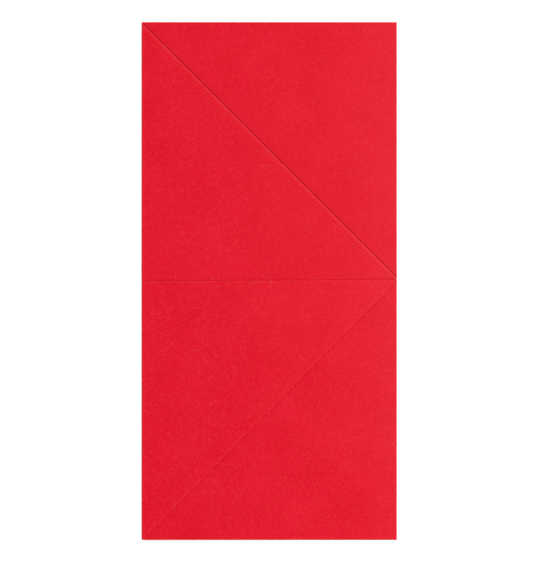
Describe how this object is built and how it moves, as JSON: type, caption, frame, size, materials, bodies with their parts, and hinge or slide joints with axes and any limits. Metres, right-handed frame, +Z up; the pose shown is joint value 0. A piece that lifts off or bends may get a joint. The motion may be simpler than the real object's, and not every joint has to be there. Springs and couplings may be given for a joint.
{
  "type": "paper airplane",
  "caption": "Red paper rectangle for a folded paper airplane, opened out flat, with a centre crease and a diagonal crease across each wing meeting at the nose.",
  "frame": {"origin": "middle of the sheet's underside, on the table that it lies on", "axes": "+X towards the nose, the edge that flies forward; +Y towards the left wing tip, along the sheet's long side; +Z up, the side that the creases fold towards"},
  "size_m": [0.075, 0.1524, 0.0002],
  "materials": {
    "paper": "matte uncoated coloured paper, fine fibre grain",
    "paper_crease": "the same paper with its fibres bent and pressed along a fold"
  },
  "bodies": {
    "right_wing": {"right_wing_panel": "paper", "centre_crease": "paper_crease", "right_corner_crease": "paper_crease"},
    "left_wing": {"left_wing_panel": "paper", "left_corner_crease": "paper_crease"},
    "right_flap": {"right_corner_flap": "paper"},
    "left_flap": {"left_corner_flap": "paper"}
  },
  "joints": [
    {"name": "centre_fold", "type": "hinge", "parent": "right_wing", "child": "left_wing", "pos_m": [0, 0.00015, 0.0006], "axis": [1, 0.0051, 0], "range_deg": [0, 179.9], "deforming": ["centre_crease"]},
    {"name": "right_corner_fold", "type": "hinge", "parent": "right_wing", "child": "right_flap", "pos_m": [0.00011, -0.03801, 0.00025], "axis": [-0.7001, -0.7141, 0], "range_deg": [0, 179.9], "deforming": ["right_corner_crease"]},
    {"name": "left_corner_fold", "type": "hinge", "parent": "left_wing", "child": "left_flap", "pos_m": [0, 0.03833, 0.00025], "axis": [0.7071, -0.7071, 0], "range_deg": [0, 179.9], "deforming": ["left_corner_crease"]}
  ]
}
